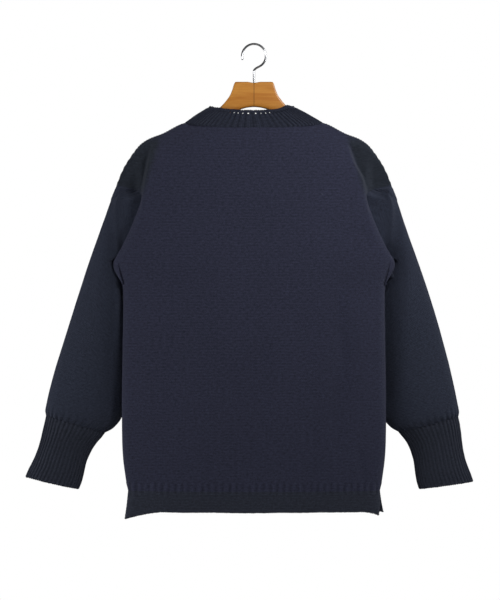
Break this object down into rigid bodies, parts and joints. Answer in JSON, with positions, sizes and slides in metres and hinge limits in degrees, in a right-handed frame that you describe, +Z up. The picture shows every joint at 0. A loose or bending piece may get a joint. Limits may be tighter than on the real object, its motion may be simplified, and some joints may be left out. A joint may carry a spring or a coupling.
{
  "type": "guernsey fisherman sweater on a wooden coat hanger",
  "caption": "Knitted drop-shoulder sweater with ribbed neckband and cuffs, underarm gussets and split garter hem, hung flat on a wooden coat hanger with a wire hook.",
  "frame": {"origin": "the seat inside the top of the hanger's hook, where the rail carries it, in the middle of the garment", "axes": "+Z up, +X to the right of a viewer who faces the front, -Y to the front of the garment"},
  "size_m": [0.7526, 0.0967, 0.7946],
  "materials": {
    "wool": "fine stocking stitch in very dark navy worsted wool, matt with a little fuzz",
    "wool_rib": "ribbed and garter stitch in the same very dark navy wool",
    "hanger_wood": "amber varnished wood with a fine straight grain",
    "hook_steel": "plain bright steel wire"
  },
  "bodies": {
    "root": {"front": "wool", "back": "wool", "welt_front": "wool_rib", "welt_back": "wool_rib", "neckband": "wool_rib", "hook": "hook_steel", "shoulder_strap_left": "wool", "sleeve_left": "wool", "cuff_left": "wool_rib", "gusset_left": "wool", "hanger_left": "hanger_wood", "shoulder_strap_right": "wool", "sleeve_right": "wool", "cuff_right": "wool_rib", "gusset_right": "wool", "hanger_right": "hanger_wood"}
  },
  "joints": []
}
